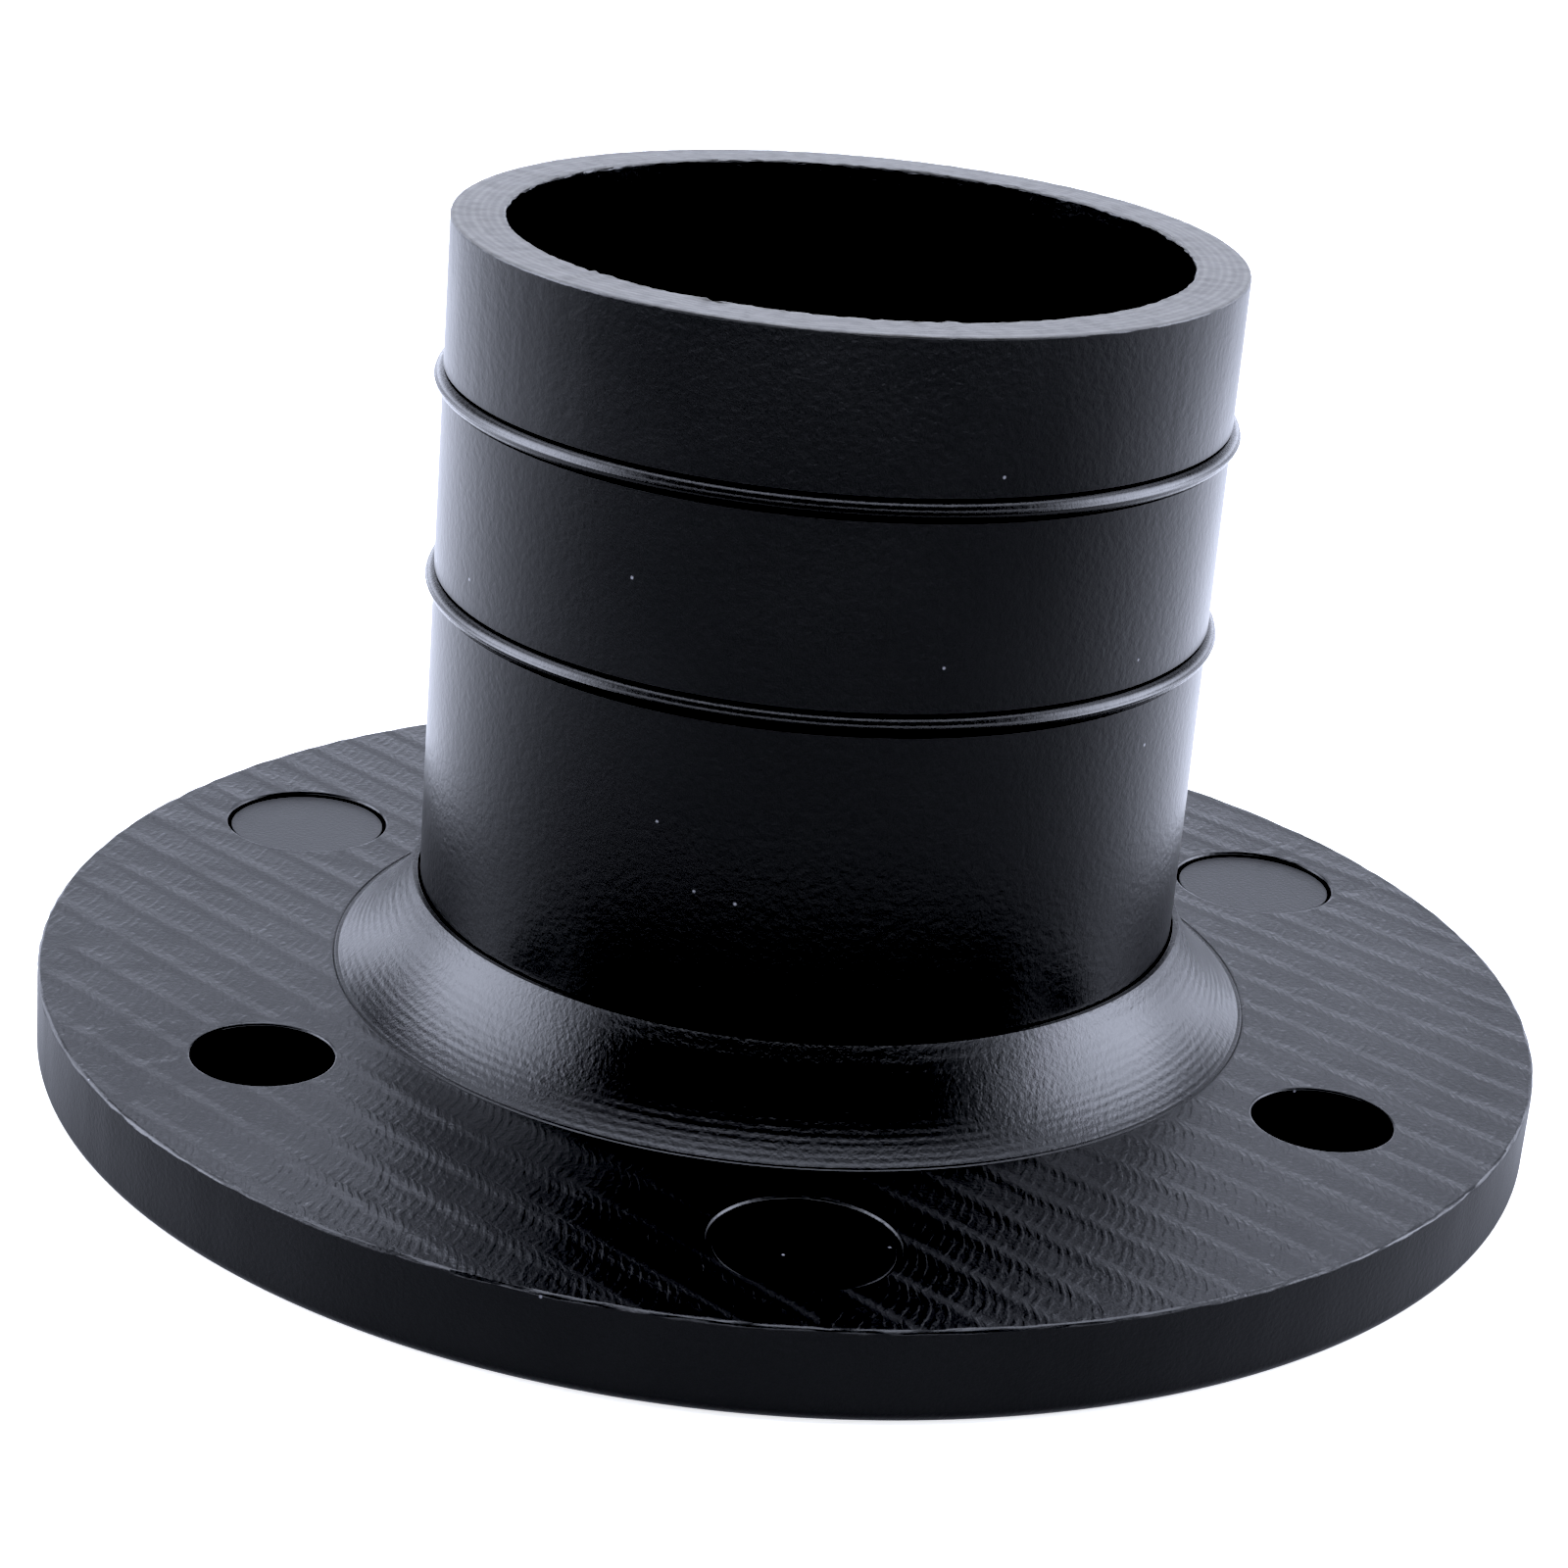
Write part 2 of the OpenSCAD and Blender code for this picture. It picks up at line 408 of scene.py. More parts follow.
def new_group(name, inputs, outputs):
    """A shader node group with named number inputs, a vector input and number outputs."""
    tree = bpy.data.node_groups.new(name, "ShaderNodeTree")
    tree.interface.new_socket("Place", in_out="INPUT", socket_type="NodeSocketVector")
    for label, value in inputs.items():
        socket = tree.interface.new_socket(label, in_out="INPUT", socket_type="NodeSocketFloat")
        socket.default_value = value
    for label in outputs:
        tree.interface.new_socket(label, in_out="OUTPUT", socket_type="NodeSocketFloat")
    sheet = Sheet(tree)
    given = tree.nodes.new("NodeGroupInput").outputs
    made = tree.nodes.new("NodeGroupOutput").inputs
    return tree, sheet, given, made


def milled_passes():
    """Side-by-side passes of an end mill: curved cusps along each pass, a ridge between two."""
    tree, s, given, made = new_group(
        "milled_passes",
        {"Direction": radians(-46), "Pass": 6.48, "Feed": 1.4, "Cutter": 10.5, "Overlap": 2.8,
         "Start": 0.0, "Wander": 0.5},
        ("Cusps", "Ridges", "Worn"),
    )
    drift = s.math("SUBTRACT", s.noise(given["Place"], 0.07, 2.0), 0.5)
    drift = s.math("MULTIPLY", drift, given["Wander"])
    turned = s.node("ShaderNodeVectorRotate", rotation_type="Z_AXIS")
    s.put(turned.inputs["Vector"], given["Place"])
    s.put(turned.inputs["Angle"], s.math("MULTIPLY", given["Direction"], -1.0))
    along, across, _ = s.split(turned.outputs[0])
    across = s.math("ADD", s.math("SUBTRACT", across, given["Start"]), drift)
    passes = s.math("DIVIDE", across, given["Pass"])
    index = s.math("FLOOR", passes)
    part = s.math("SUBTRACT", passes, index)
    side = s.math("ADD", s.math("MULTIPLY", part, given["Pass"]), given["Overlap"])
    bow = s.math("SUBTRACT", s.math("MULTIPLY", given["Cutter"], given["Cutter"]),
                 s.math("MULTIPLY", side, side))
    bow = s.math("SQRT", s.math("MAXIMUM", bow, 0.0))
    shift = s.noise(s.math("MULTIPLY", index, 7.3), 1.0, 0.0, dimensions="1D")
    jitter = s.math("MULTIPLY", s.noise(given["Place"], 0.35, 2.0), 0.7)
    phase = s.math("DIVIDE", s.math("SUBTRACT", along, bow), given["Feed"])
    phase = s.math("ADD", s.math("ADD", phase, jitter), s.math("MULTIPLY", shift, 3.0))
    wave = s.math("ADD", s.math("MULTIPLY", s.math("COSINE", s.math("MULTIPLY", phase, tau)), 0.5),
                  0.5)
    broken = s.ramp(s.noise(given["Place"], 0.55, 3.0), 0.34, 0.62)
    s.put(made["Cusps"], s.math("MULTIPLY", s.ramp(wave, 0.2, 1.0), broken))
    away = s.math("ABSOLUTE", s.math("SUBTRACT", s.math("FRACT", s.math("ADD", part, 0.62)), 0.5))
    s.put(made["Ridges"], s.ramp(away, 0.0, 0.27, 1.0, 0.0))
    edge = s.math("MINIMUM", part, s.math("SUBTRACT", 1.0, part))
    s.put(made["Worn"], s.ramp(edge, 0.0, 0.16, 1.0, 0.0))
    return tree


def turned_lines():
    """Fine rings left by a lathe tool about the Z axis."""
    tree, s, given, made = new_group("turned_lines", {"Pitch": 0.7}, ("Rings", "Bands"))
    x, y, _ = s.split(given["Place"])
    turns = s.math("DIVIDE", s.reach(x, y), given["Pitch"])
    wave = s.math("SINE", s.math("MULTIPLY", turns, tau))
    uneven = s.noise(turns, 0.9, 3.0, dimensions="1D")
    s.put(made["Rings"], s.math("ADD", s.math("MULTIPLY", wave, 0.35), uneven))
    s.put(made["Bands"], s.noise(turns, 0.35, 2.0, dimensions="1D"))
    return tree


def fine_grain():
    """The fine pebbling of moulded plastic, with a few pale specks of dust."""
    tree, s, given, made = new_group(
        "fine_grain", {"Size": 0.6, "Specks": 0.012}, ("Grain", "Cloud", "Dust"))
    scale = s.math("DIVIDE", 1.0, given["Size"])
    s.put(made["Grain"], s.noise(given["Place"], scale, 3.0, 0.6))
    s.put(made["Cloud"], s.noise(given["Place"], 0.045, 3.0))
    cells = s.node("ShaderNodeTexVoronoi", feature="F1")
    s.put(cells.inputs["Vector"], given["Place"])
    s.put(cells.inputs["Scale"], 0.45)
    near = s.ramp(cells.outputs["Distance"], 0.05, 0.11, 1.0, 0.0)
    chance = s.split(cells.outputs["Color"])[0]
    s.put(made["Dust"], s.math("MULTIPLY", near, s.math("LESS_THAN", chance, given["Specks"])))
    return tree


def new_material(name):
    """A material with a sheet, its shader and the place on the piece in millimetres."""
    material = bpy.data.materials.new(name)
    material.use_nodes = True
    tree = material.node_tree
    shader = tree.nodes["Principled BSDF"]
    sheet = Sheet(tree)
    place = sheet.scaled(tree.nodes.new("ShaderNodeTexCoord").outputs["Object"], 1 / MM)
    return material, sheet, shader, place


def raise_surface(sheet, shader, height, depth):
    """Feeds a height from 0 to 1 to the shader as a bump of a depth in millimetres."""
    bump = sheet.node("ShaderNodeBump")
    bump.inputs["Strength"].default_value = 1.0
    bump.inputs["Distance"].default_value = depth * MM
    sheet.put(bump.inputs["Height"], height)
    sheet.put(shader.inputs["Normal"], bump.outputs["Normal"])


def radius_and_height(sheet, place):
    """How far a place is from the Z axis, and its height."""
    x, y, z = sheet.split(place)
    return sheet.reach(x, y), z


def ring_material(groups, sizes, colours):
    """Black plastic: milled on the plate's top, turned on the collar and the underside."""
    material, s, shader, place = new_material("milled_black_plastic")
    radius, z = radius_and_height(s, place)
    top = sizes.plate_top / MM
    milled_from = collar_foot(sizes) / MM + 0.9
    milled = s.group(groups["milled"], place=place, start=4.86)
    turned = s.group(groups["turned"], place=place)
    grain = s.group(groups["grain"], place=place, size=0.6)
    on_top = s.math("MULTIPLY", s.math("GREATER_THAN", z, top - 0.05),
                    s.math("GREATER_THAN", radius, milled_from))
    on_collar = s.math("MULTIPLY", s.math("GREATER_THAN", z, top - 0.05),
                       s.math("LESS_THAN", radius, milled_from))
    below = s.math("LESS_THAN", z, 0.3)
    lathe = s.math("ADD", on_collar, below)
    cloud = s.ramp(grain["Cloud"], 0.3, 0.7)
    cusps = s.math("MULTIPLY", milled["Cusps"], s.blend(cloud, 0.6, 1.2))
    strokes = s.math("MULTIPLY", s.noise(s.stretched(place), 1.0, 3.0, 0.6), 1.2)
    passes = s.math("MULTIPLY", milled["Ridges"], s.blend(cloud, 2.4, 4.6))
    milling = s.math("MULTIPLY", s.math("ADD", s.math("ADD", cusps, passes), strokes), on_top)
    fuzz = s.math("MULTIPLY", s.math("MULTIPLY", strokes, 0.9), on_collar)
    rings = s.math("MULTIPLY", s.math("MULTIPLY", turned["Rings"], 0.6), lathe)
    pebbles = s.math("MULTIPLY", grain["Grain"], 1.8)
    height = s.math("ADD", s.math("ADD", milling, rings), s.math("ADD", pebbles, fuzz))
    raise_surface(s, shader, height, 0.03)
    worn = s.math("MULTIPLY", s.math("MULTIPLY", milled["Worn"], 0.12), on_top)
    uneven = s.math("MULTIPLY", s.math("SUBTRACT", cloud, 0.5), 0.06)
    base = s.blend(on_collar, 0.32, 0.27)
    s.put(shader.inputs["Roughness"], s.math("ADD", s.math("ADD", base, worn), uneven))
    s.put(shader.inputs["Base Color"],
          s.mix(grain["Dust"], (*colours.plastic, 1), PALE_DUST))
    shader.inputs["IOR"].default_value = PLASTIC_IOR
    return material


def tube_material(groups, sizes, colours):
    """Black moulded plastic with fine pebbling, and a pale sawn rim."""
    material, s, shader, place = new_material("moulded_black_plastic")
    z = s.split(place)[2]
    grain = s.group(groups["grain"], place=place, size=0.9, specks=0.02)
    saw = s.group(groups["turned"], place=place, pitch=0.9)
    sawn = s.ramp(z, sizes.rim_z / MM - 0.25, sizes.rim_z / MM - 0.05)
    tone = s.ramp(s.noise(place, 0.6, 3.0), 0.3, 0.7, 0.75, 1.15)
    pale = s.mix(s.math("MULTIPLY", s.ramp(saw["Rings"], 0.2, 1.0), 0.35),
                 (*colours.cut_face, 1), (0.2, 0.196, 0.18, 1))
    rim = s.mix(s.math("MULTIPLY", sawn, tone, clamp=True), (*colours.plastic, 1), pale)
    s.put(shader.inputs["Base Color"], s.mix(grain["Dust"], rim, (0.25, 0.25, 0.27, 1)))
    cloud = s.math("SUBTRACT", grain["Cloud"], 0.5)
    rough = s.math("ADD", s.blend(sawn, 0.3, 0.55), s.math("MULTIPLY", cloud, 0.12))
    s.put(shader.inputs["Roughness"], rough)
    height = s.math("ADD", s.math("MULTIPLY", grain["Grain"], 0.5),
                    s.math("MULTIPLY", s.math("MULTIPLY", saw["Rings"], sawn), 0.1))
    raise_surface(s, shader, height, 0.12)
    shader.inputs["IOR"].default_value = PLASTIC_IOR
    return material


def rubber_material(groups, colours):
    """Matt black rubber with a fine skin."""
    material, s, shader, place = new_material("seal_rubber")
    grain = s.group(groups["grain"], place=place, size=0.35, specks=0.03)
    s.put(shader.inputs["Base Color"],
          s.mix(grain["Dust"], (*colours.rubber, 1), (0.18, 0.18, 0.19, 1)))
    s.put(shader.inputs["Roughness"], s.ramp(grain["Grain"], 0.2, 0.8, 0.18, 0.32))
    raise_surface(s, shader, grain["Grain"], 0.02)
    shader.inputs["IOR"].default_value = 1.52
    return material


def plug_material(groups, colours):
    """Black plastic of the plugs, with fine pebbling."""
    material, s, shader, place = new_material("plug_plastic")
    grain = s.group(groups["grain"], place=place, size=0.4, specks=0.02)
    s.put(shader.inputs["Base Color"],
          s.mix(grain["Dust"], (*colours.plastic, 1), PALE_DUST))
    s.put(shader.inputs["Roughness"], s.ramp(grain["Cloud"], 0.3, 0.7, 0.3, 0.38))
    raise_surface(s, shader, grain["Grain"], 0.05)
    shader.inputs["IOR"].default_value = PLASTIC_IOR
    return material


def steel_material(groups, colours):
    """Spring steel with rolling marks."""
    material, s, shader, place = new_material("spring_steel")
    lines = s.group(groups["turned"], place=place, pitch=0.3)
    s.put(shader.inputs["Base Color"],
          s.mix(lines["Bands"], (*colours.steel, 1), (0.55, 0.56, 0.58, 1)))
    s.put(shader.inputs["Roughness"], s.ramp(lines["Rings"], 0.0, 1.2, 0.25, 0.45))
    raise_surface(s, shader, lines["Rings"], 0.01)
    shader.inputs["Metallic"].default_value = 1.0
    return material


materials = {}


class FLANGE_OT_materials(bpy.types.Operator):
    """Makes the plastics, the rubber and the steel"""

    bl_idname = "flange.materials"
    bl_label = "Materials"

    def execute(self, context):
        scene = context.scene
        groups = {"milled": milled_passes(), "turned": turned_lines(), "grain": fine_grain()}
        colours = scene.flange_colours
        materials["ring"] = ring_material(groups, scene.flange_ring, colours)
        materials["tube"] = tube_material(groups, scene.flange_tube, colours)
        materials["rubber"] = rubber_material(groups, colours)
        materials["plug"] = plug_material(groups, colours)
        materials["steel"] = steel_material(groups, colours)
        return {"FINISHED"}


# ---------------------------------------------------------------- pieces


def collar_foot(sizes):
    """Radius at which the collar's flare meets the plate."""
    return tube_r + sizes.gap + sizes.land + sizes.spread


class FLANGE_OT_ring(bpy.types.Operator):
    """Turns the plate with its collar and drills its holes"""

    bl_idname = "flange.ring"
    bl_label = "Flange ring"

    def section(self, n):
        """The ring's section, from the recess up the bore, down the collar and round the edge."""
        bore_r = tube_r + n.gap
        foot = collar_foot(n)
        recess_r = bore_r + n.lip_w
        slope = self.slope(n, foot)
        edge = arc(n.plate_r - n.top_edge_r, n.plate_top - n.top_edge_r, n.top_edge_r, 90, 0, 4)
        lower = arc(n.plate_r - n.edge_r, n.edge_r, n.edge_r, 0, -90, 8)
        rim_bevel = 0.15 * MM
        crease_w = 0.35 * MM
        crease_depth = 0.12 * MM
        return [
            (recess_r, 0), (recess_r, n.recess_z), (bore_r, n.recess_z), (bore_r, n.snap_low),
            (bore_r + n.snap_depth, n.snap_low), (bore_r + n.snap_depth, n.snap_low + n.snap_h),
            (bore_r, n.snap_low + n.snap_h), (bore_r, n.collar_top),
            (bore_r + n.land - rim_bevel, n.collar_top), *slope,
            (foot + crease_w, n.plate_top), (foot + 1.5 * crease_w, n.plate_top - crease_depth),
            (foot + 2 * crease_w, n.plate_top), *edge, *lower,
        ]

    def slope(self, n, foot):
        """The collar's hollow slope, from its top to its foot."""
        top, bottom = Vector((foot - n.spread, n.collar_top)), Vector((foot, n.plate_top))
        along = bottom - top
        reach = (n.slope_r ** 2 - (along.length / 2) ** 2) ** 0.5
        centre = (top + bottom) / 2 + Vector((-along.y, along.x)).normalized() * reach
        start, end = (degrees(atan2(*(point - centre).yx)) for point in (top, bottom))
        return arc(*centre, n.slope_r, start, end, 16)

    def hole_cutter(self, n):
        """Half the outline of a bolt hole with rounded mouths."""
        r, e, top = n.hole_r, n.hole_edge_r, n.plate_top
        over = 1 * MM
        lower = arc(r + e, e, e, 270, 180, 4)
        upper = arc(r + e, top - e, e, 180, 90, 4)
        return [(0, -over), (r + e, -over), *lower, *upper, (r + e, top + over), (0, top + over)]

    def step_cutter(self, n):
        """Half the outline of a plug's stepped hole."""
        e = 0.4 * MM
        top = n.plate_top
        over = 1 * MM
        mouth = arc(n.step_r + e, top - e, e, 180, 90, 3)
        return [(0, -over), (n.hole_r, -over), (n.hole_r, n.step_z), (n.step_r, n.step_z),
                *mouth, (n.step_r + e, top + over), (0, top + over)]

    def execute(self, context):
        n = context.scene.flange_ring
        ring = turn_section("flange_ring_milled", self.section(n), LARGE_TURN_STEPS)
        edge_r = n.plate_r - 1.2 * n.top_edge_r
        edge_z = n.plate_top - 1.2 * n.top_edge_r
        roughen(ring, lambda p: p.z > edge_z and p.xy.length > edge_r, 0.07 * MM, 3)
        leave_edit()
        cutters = []
        for i in range(len(PLUG_NODES)):
            angle = radians(FIRST_BOLT_HOLE_ANGLE + 360 * i / len(PLUG_NODES))
            bolt = Vector((n.hole_circle_r * cos(angle), n.hole_circle_r * sin(angle), 0))
            low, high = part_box(PLUG_NODES[i])
            step = Vector(((low[0] + high[0]) / 2, (low[1] + high[1]) / 2, 0))
            for points, place in ((self.hole_cutter(n), bolt), (self.step_cutter(n), step)):
                cutter = turn_section("cutter", points, SMALL_TURN_STEPS, closed=False)
                move_piece(place)
                leave_edit()
                cutters.append(cutter)
        cut_with(ring, cutters)
        finish_piece(ring, materials["ring"], "swivel_ring", "ring_plastic", "flange_ring")
        return {"FINISHED"}


class FLANGE_OT_tube(bpy.types.Operator):
    """Turns the tube with its lip, its grooves and its sawn rim"""

    bl_idname = "flange.tube"
    bl_label = "Tube"

    def section(self, n):
        """The tube's section, from its mouth round the lip, up past the grooves and over the rim."""
        e = n.rim_edge_r
        seats = []
        deep = n.outer_r - n.groove_depth
        chamfer = 0.12 * MM
        for node in SEAL_NODES:
            low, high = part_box(node)
            middle = (low[2] + high[2]) / 2
            below, above = middle - n.groove_w / 2, middle + n.groove_w / 2
            seats += [(n.outer_r, below - chamfer), (n.outer_r - chamfer, below),
                      (deep, below), (deep, above),
                      (n.outer_r - chamfer, above), (n.outer_r, above + chamfer)]
        snap_r = n.outer_r - n.snap_depth
        lip_top, soft = n.lip_z + n.lip_t, 0.5 * MM
        return [
            (n.bore_r, n.lip_z + n.mouth_bevel), (n.bore_r + n.mouth_bevel - soft, n.lip_z + soft),
            (n.bore_r + n.mouth_bevel + soft, n.lip_z),
            *arc(n.lip_r - soft, n.lip_z + soft, soft, -90, 0, 4),
            *arc(n.lip_r - soft, lip_top - soft, soft, 0, 90, 4),
            (n.outer_r, lip_top), (n.outer_r, n.snap_low), (snap_r, n.snap_low),
            (snap_r, n.snap_low + n.snap_h), (n.outer_r, n.snap_low + n.snap_h),
            *seats,
            *arc(n.outer_r - e, n.rim_z - e, e, 0, 90, 4),
            *arc(n.bore_r + e, n.rim_z - e, e, 90, 180, 4),
            *[(n.bore_r, n.rim_z - step * MM) for step in (4, 20, 60)],
        ]

    def execute(self, context):
        n = context.scene.flange_tube
        tube = turn_section("tube_moulded", self.section(n), LARGE_TURN_STEPS)
        e = n.rim_edge_r
        on_rim = n.rim_z - 1.1 * e
        inner_r = n.bore_r + 1.2 * e
        outer_r = n.outer_r - 1.2 * e
        roughen(tube, lambda p: p.z > on_rim and p.xy.length < inner_r, 0.09 * MM, 5)
        roughen(tube, lambda p: p.z > on_rim and p.xy.length > outer_r, 0.03 * MM, 8)
        nick = 0.12 * MM
        for seed, (angle, width) in enumerate(((248, 9), (262, 5), (284, 4), (226, 6), (60, 7))):
            middle = Vector((cos(radians(angle)), sin(radians(angle))))
            half = radians(width / 2)
            roughen(tube, lambda p: p.z > on_rim and p.xy.length < inner_r
                    and p.xy.angle(middle, pi) < half, nick, 20 + seed)
        leave_edit()
        finish_piece(tube, materials["tube"], "hub", "tube_plastic", "spigot_tube")
        return {"FINISHED"}


class FLANGE_OT_seals(bpy.types.Operator):
    """Turns the two rubber rings"""

    bl_idname = "flange.seals"
    bl_label = "Rubber rings"

    def section(self, n, outer_r, middle):
        """A round section, flat where it sits in its groove, with a moulding line outside."""
        r = n.section_r
        centre = outer_r - r
        inner = degrees(acos(SEAL_SQUASH / r - 1))
        upper = arc(centre, middle, r, inner, 5, 14)
        lower = arc(centre, middle, r, -5, -inner, 14)
        return [*upper, (centre + r + n.flash, middle), *lower]

    def execute(self, context):
        n = context.scene.flange_seals
        for node in SEAL_NODES:
            low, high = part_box(node)
            outer_r = context.scene.flange_tube.outer_r + n.proud
            points = self.section(n, outer_r, (low[2] + high[2]) / 2)
            seal = turn_section(node + "_rubber", points, SEAL_TURN_STEPS)
            leave_edit()
            finish_piece(seal, materials["rubber"], "hub", "seal_rubber", node)
        return {"FINISHED"}


class FLANGE_OT_plugs(bpy.types.Operator):
    """Turns the three hole plugs"""

    bl_idname = "flange.plugs"
    bl_label = "Hole plugs"

    def section(self, n, head_r, top, foot):
        """From the dimple under the stem, round the head, to the middle of its face."""
        e = n.edge_r
        chamfer = 0.4 * MM
        under = top - n.head_t
        return [
            (0, foot + n.core_depth), (n.core_r, foot + n.core_depth), (n.core_r, foot),
            (n.stem_r - chamfer, foot), (n.stem_r, foot + chamfer), (n.stem_r, under),
            (head_r, under), *arc(head_r - e, top - e, e, 0, 90, 4), (head_r - 1.2 * MM, top),
            (0, top),
        ]

    def execute(self, context):
        n = context.scene.flange_plugs
        for node in PLUG_NODES:
            low, high = (Vector(corner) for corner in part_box(node))
            points = self.section(n, (high.x - low.x) / 2, high.z, low.z)
            plug = turn_section(node + "_moulded", points, SMALL_TURN_STEPS, closed=False)
            middle = (low + high) / 2
            move_piece((middle.x, middle.y, 0))
            leave_edit()
            finish_piece(plug, materials["plug"], "swivel_ring", "plug_plastic", node)
        return {"FINISHED"}


class FLANGE_OT_retaining_ring(bpy.types.Operator):
    """Gives the retaining ring its steel"""

    bl_idname = "flange.retaining_ring"
    bl_label = "Retaining ring"

    def execute(self, context):
        ring = frame["nodes"]["retaining_ring"]
        ring.data.materials.clear()
        ring.data.materials.append(materials["steel"])
        return {"FINISHED"}


# ---------------------------------------------------------------- stage


def soft_panel(sheet, direction, turn, height, inner, outer):
    """How much of a round soft panel a direction meets: all of it up to the inner angle.

    The panel's turn goes from the front (0) round to the back (180), its height up from the floor.
    """
    turn, height = radians(turn), radians(height)
    middle = (cos(height) * sin(turn), -cos(height) * cos(turn), sin(height))
    towards = sheet.node("ShaderNodeVectorMath", direction, middle, operation="DOT_PRODUCT")
    away = sheet.math("ARCCOSINE", towards.outputs["Value"])
    return sheet.ramp(away, radians(inner), radians(outer), 1.0, 0.0)


class FLANGE_OT_stage(bpy.types.Operator):
    """Sets up the camera, the studio light and the floor"""

    bl_idname = "flange.stage"
    bl_label = "Stage"

    def camera(self, scene, n):
        """Stands the camera in front of the flange."""
        camera = bpy.data.objects.new("camera", bpy.data.cameras.new("camera"))
        scene.collection.objects.link(camera)
        camera.location = n.camera_place
        camera.rotation_euler = n.camera_turn
        camera.data.lens = n.lens
        camera.data.clip_start = 0.01
        scene.camera = camera

    def room(self, scene, n):
        """A white background to the camera, and a studio with soft panels to the piece."""
        world = bpy.data.worlds.new("studio")
        scene.world = world
        world.use_nodes = True
        s = Sheet(world.node_tree)
        towards = s.node("ShaderNodeTexCoord").outputs["Generated"]
        x, y, z = s.split(towards)
        folded = s.node("ShaderNodeCombineXYZ", s.math("ABSOLUTE", x), y, z).outputs[0]
        beside = soft_panel(s, folded, turn=95, height=22, inner=10, outer=32)
        above = soft_panel(s, towards, turn=180, height=70, inner=15, outer=48)
        sides = s.math("MULTIPLY", beside, n.side_panels)
        back = s.math("MULTIPLY", above, n.back_panel)
        low = s.math("MULTIPLY", s.ramp(z, 0.05, 0.4, 1.0, 0.0), n.horizon)
        light = s.math("ADD", s.math("ADD", sides, back), s.math("ADD", low, n.room))
        light = s.math("MULTIPLY", light, n.power)
        seen = s.node("ShaderNodeLightPath").outputs["Is Camera Ray"]
        sky = world.node_tree.nodes["Background"]
        s.put(sky.inputs["Strength"], s.blend(seen, light, 1.0))
        s.put(sky.inputs["Color"], s.mix(seen, (*n.tint, 1), (1, 1, 1, 1)))

    def floor(self, scene, n, colours):
        """A pale floor that glows in the reflections, with a painted shadow under the plate, and is
        clear from below.
        """
        bpy.ops.object.select_all(action="DESELECT")
        bpy.ops.mesh.primitive_plane_add(size=n.floor_size, location=(0, 0, -0.1 * MM))
        floor = bpy.context.active_object
        floor.name = "floor"
        material = bpy.data.materials.new("pale_floor")
        material.use_nodes = True
        tree = material.node_tree
        s = Sheet(tree)
        x, y, _ = s.split(tree.nodes.new("ShaderNodeTexCoord").outputs["Object"])
        away = s.reach(x, y)
        behind = s.math("DIVIDE", y, s.math("MAXIMUM", away, 0.01))
        glow = s.ramp(behind, -0.45, 1.0, n.floor_front, n.floor_back)
        far_off = s.ramp(away, 0.15, 0.8, 1.0, 0.4)
        # painted shadow: the floor's glow is turned down under the plate, standing in for the shade
        # the plate casts there
        painted_shadow_under_plate = s.ramp(away, 0.08, 0.095, 0.35, 1.0)
        glow = s.math("MULTIPLY", s.math("MULTIPLY", glow, far_off), painted_shadow_under_plate)
        shown = s.node("ShaderNodeBsdfDiffuse").outputs[0]
        shown.node.inputs["Color"].default_value = (*colours.floor, 1)
        mirrored = s.node("ShaderNodeEmission")
        mirrored.inputs["Color"].default_value = (*n.tint, 1)
        s.put(mirrored.inputs["Strength"], s.math("MULTIPLY", glow, n.power))
        white = s.node("ShaderNodeEmission")
        white.inputs["Strength"].default_value = 0.7
        both = s.node("ShaderNodeAddShader", shown, white.outputs[0]).outputs[0]
        seen = s.node("ShaderNodeLightPath").outputs["Is Camera Ray"]
        pick = s.node("ShaderNodeMixShader", seen, mirrored.outputs[0], both).outputs[0]
        below = s.node("ShaderNodeNewGeometry").outputs["Backfacing"]
        clear = s.node("ShaderNodeBsdfTransparent").outputs[0]
        pick = s.node("ShaderNodeMixShader", below, pick, clear).outputs[0]
        s.put(tree.nodes["Material Output"].inputs["Surface"], pick)
        floor.data.materials.append(material)

    def execute(self, context):
        scene = context.scene
        n = scene.flange_stage
        self.camera(scene, n)
        self.room(scene, n)
        self.floor(scene, n, scene.flange_colours)
        scene.view_settings.view_transform = "Standard"
        scene.view_settings.use_curve_mapping = True
        scene.view_settings.curve_mapping.black_level = [n.black_level * c for c in n.tint]
        scene.view_settings.curve_mapping.update()
        return {"FINISHED"}


# ---------------------------------------------------------------- panel and start


class FLANGE_PT_panel(bpy.types.Panel):
    """Buttons for the pieces of the flange"""

    bl_idname = "FLANGE_PT_panel"
    bl_label = "Toilet flange"
    bl_space_type = "VIEW_3D"
    bl_region_type = "UI"
    bl_category = "Flange"

    def draw(self, context):
        for operator in OPERATORS:
            self.layout.operator(operator.bl_idname)


GROUPS = {
    "flange_ring": FlangeRingSizes,
    "flange_tube": TubeSizes,
    "flange_seals": SealSizes,
    "flange_plugs": PlugSizes,
    "flange_colours": FinishColours,
    "flange_stage": StageSettings,
}
OPERATORS = (
    FLANGE_OT_stage,
    FLANGE_OT_materials,
    FLANGE_OT_ring,
    FLANGE_OT_tube,
    FLANGE_OT_seals,
    FLANGE_OT_plugs,
    FLANGE_OT_retaining_ring,
)


def register():
    for cls in (*GROUPS.values(), *OPERATORS, FLANGE_PT_panel):
        bpy.utils.register_class(cls)
    for name, cls in GROUPS.items():
        setattr(bpy.types.Scene, name, PointerProperty(type=cls))


def unregister():
    for name in GROUPS:
        delattr(bpy.types.Scene, name)
    for cls in reversed((*GROUPS.values(), *OPERATORS, FLANGE_PT_panel)):
        bpy.utils.unregister_class(cls)


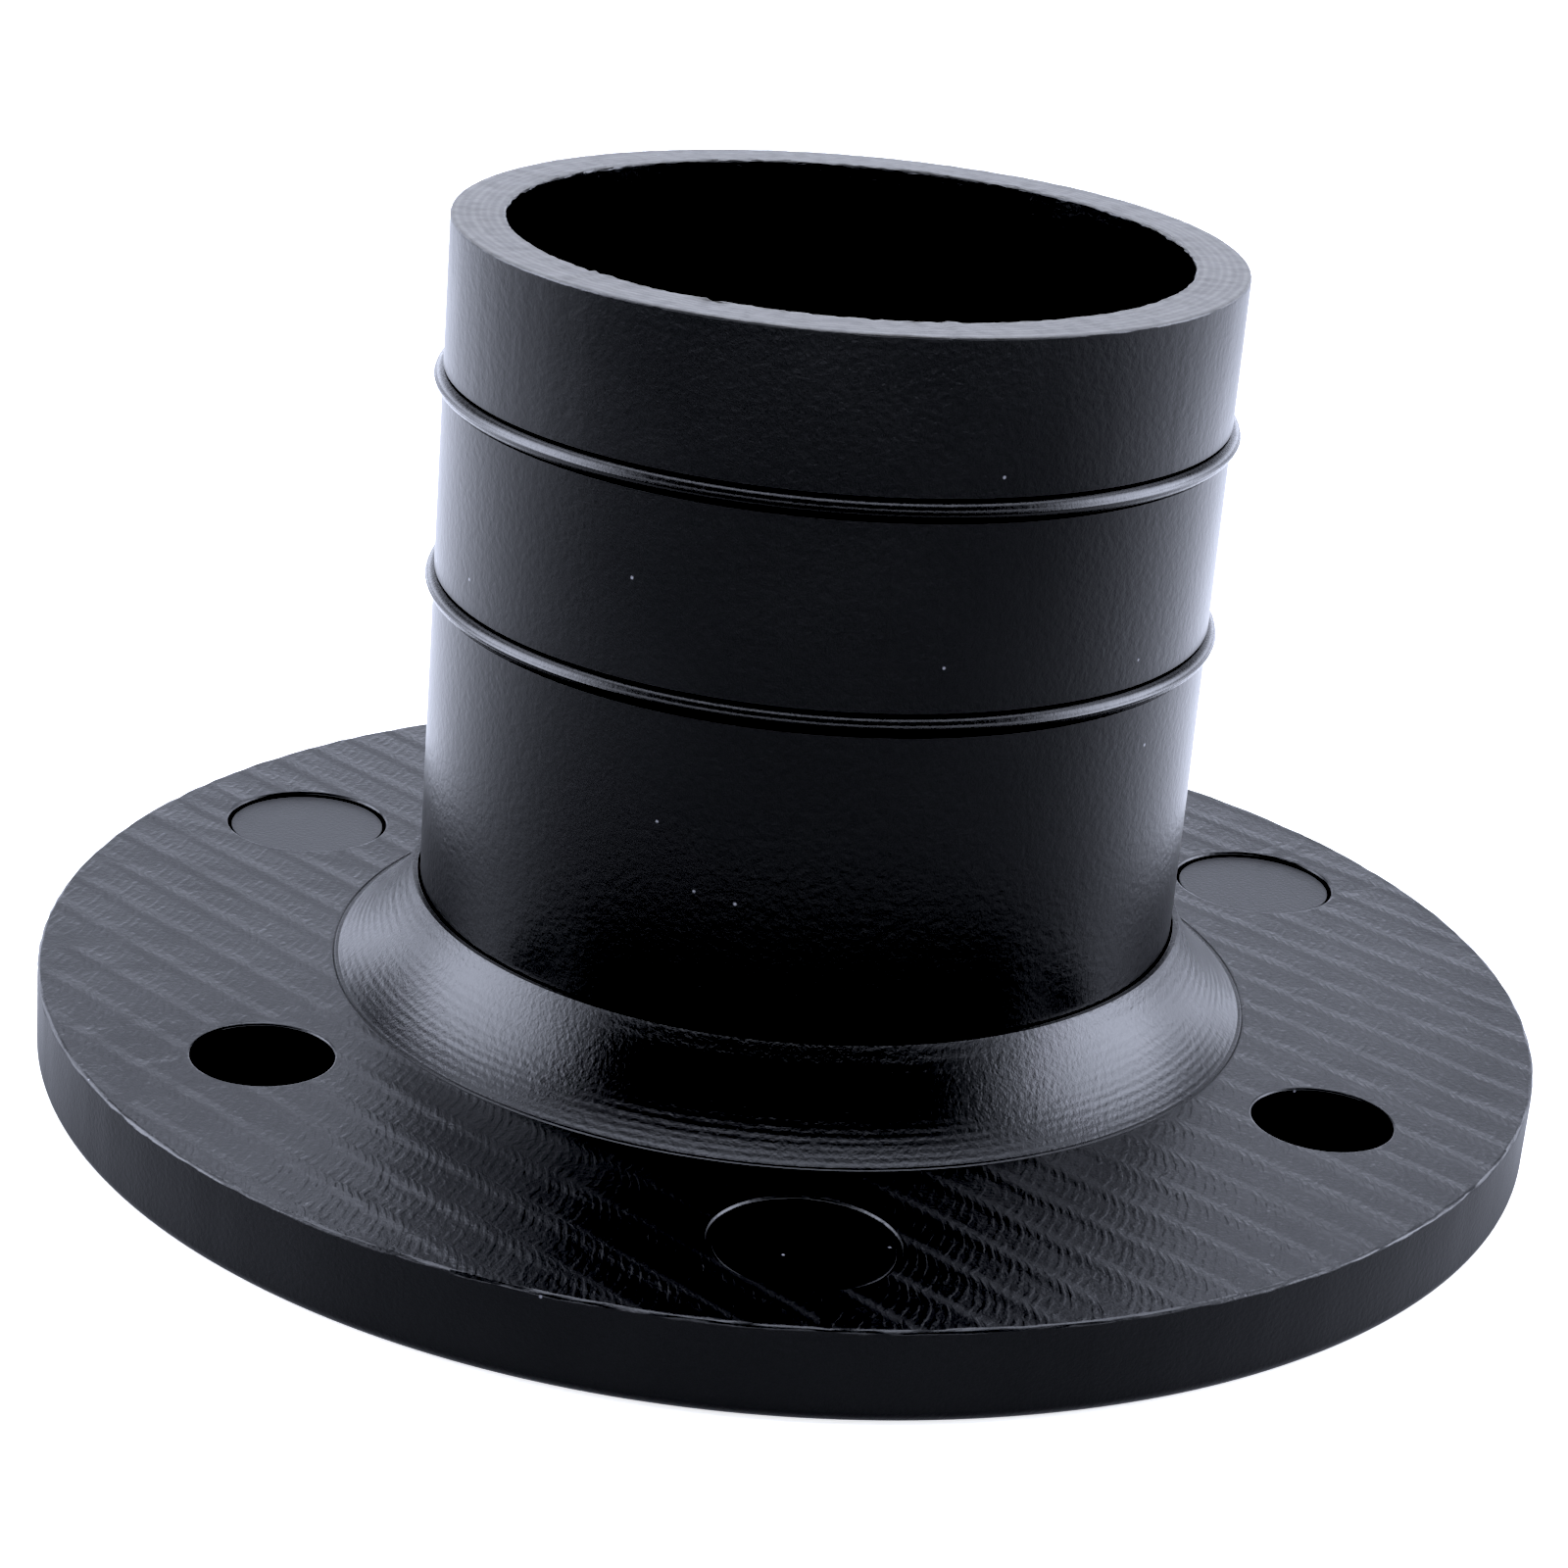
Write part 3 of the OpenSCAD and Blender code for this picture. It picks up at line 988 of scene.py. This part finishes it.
def main():
    register()
    for operator in OPERATORS:
        group, name = operator.bl_idname.split(".")
        getattr(getattr(bpy.ops, group), name)()


if __name__ == "__main__":
    main()
